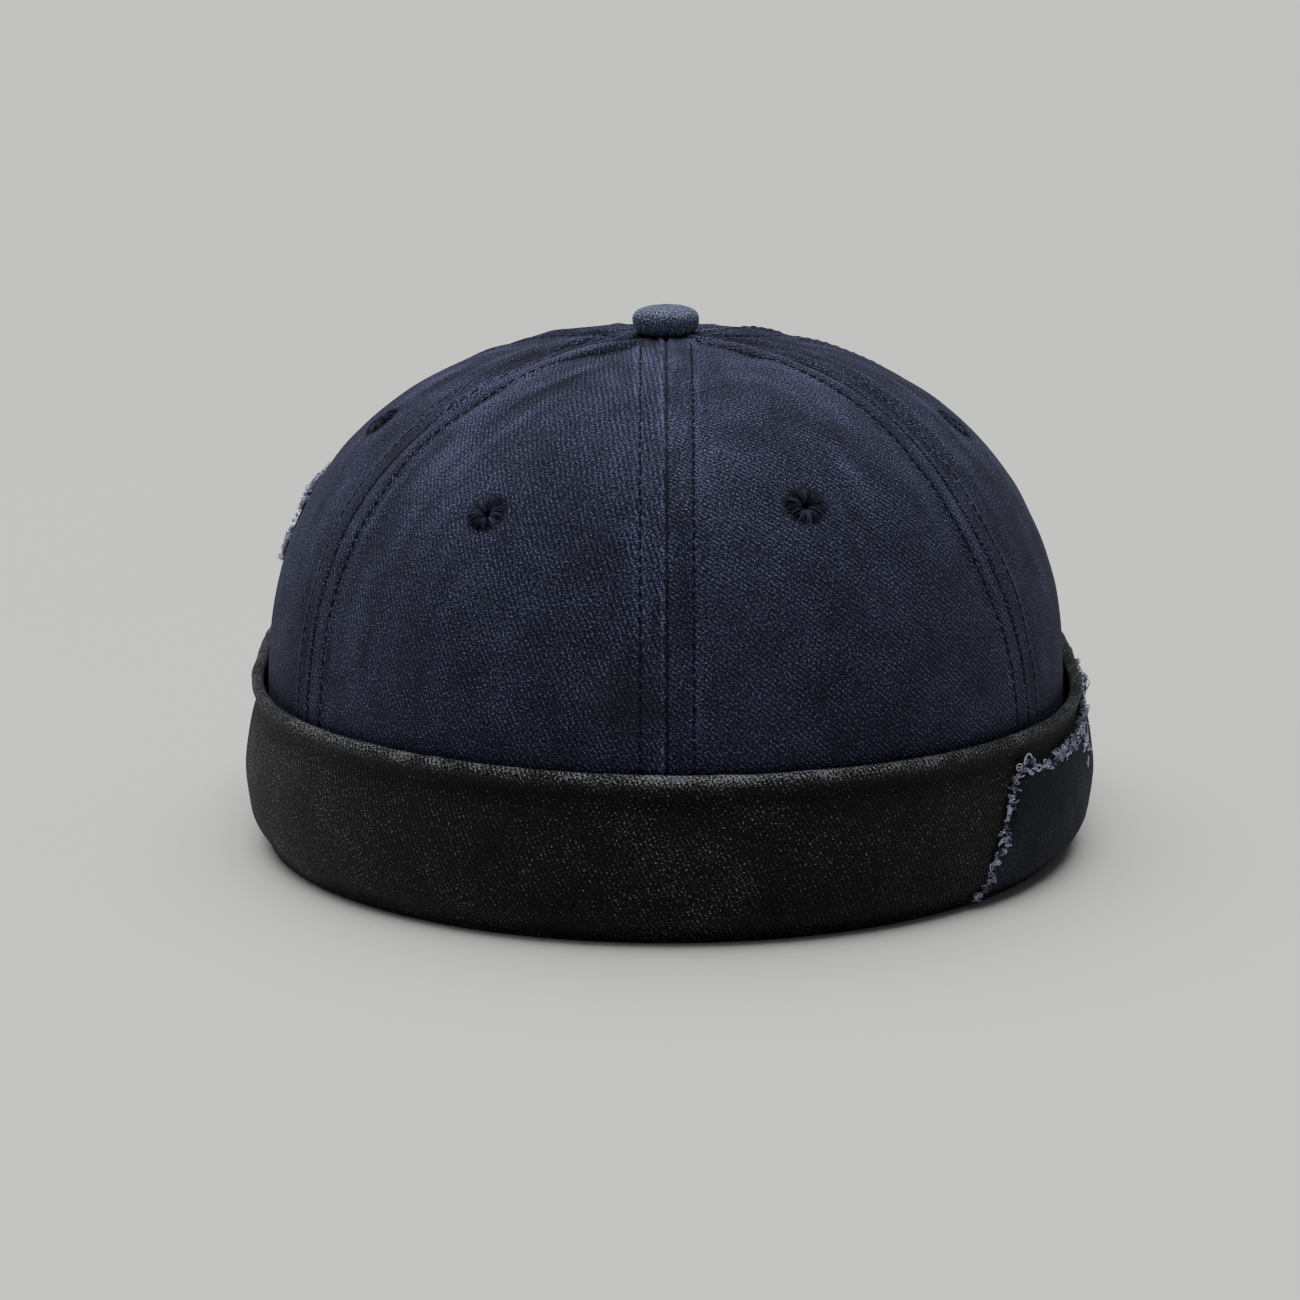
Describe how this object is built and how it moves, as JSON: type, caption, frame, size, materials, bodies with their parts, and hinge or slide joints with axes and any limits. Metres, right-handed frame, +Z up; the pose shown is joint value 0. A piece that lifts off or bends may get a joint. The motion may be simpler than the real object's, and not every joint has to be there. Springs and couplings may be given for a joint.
{
  "type": "brimless sailor cap",
  "caption": "Brimless panelled skull cap in washed cotton twill with a covered button, stitched eyelets, a turned-up cuff and torn patches; worn on a head.",
  "frame": {"origin": "middle of the cap's footprint, on the surface that the folded bottom edge rests on", "axes": "+Z up through the button, the cap's front faces -Y, the wearer's left is +X"},
  "size_m": [0.1886, 0.2096, 0.1179],
  "materials": {
    "crown_twill": "washed navy cotton twill, matt, paler on seams and edges",
    "button_twill": "washed navy cotton twill stretched over a button, matt",
    "eyelet_thread": "dark navy embroidery thread, slight sheen",
    "cuff_twill": "washed charcoal cotton twill, matt, paler on the rolled rim",
    "patch_twill": "washed navy cotton twill with torn, frayed pale blue edges"
  },
  "bodies": {
    "root": {"panel_front_left": "crown_twill", "panel_side_left": "crown_twill", "panel_back_left": "crown_twill", "panel_back_right": "crown_twill", "panel_side_right": "crown_twill", "panel_front_right": "crown_twill", "crown_button": "button_twill", "eyelet_front_left": "eyelet_thread", "eyelet_side_left": "eyelet_thread", "eyelet_back_left": "eyelet_thread", "eyelet_back_right": "eyelet_thread", "eyelet_side_right": "eyelet_thread", "eyelet_front_right": "eyelet_thread", "cuff": "cuff_twill", "cuff_patch": "patch_twill", "crown_patch": "patch_twill"}
  },
  "joints": []
}
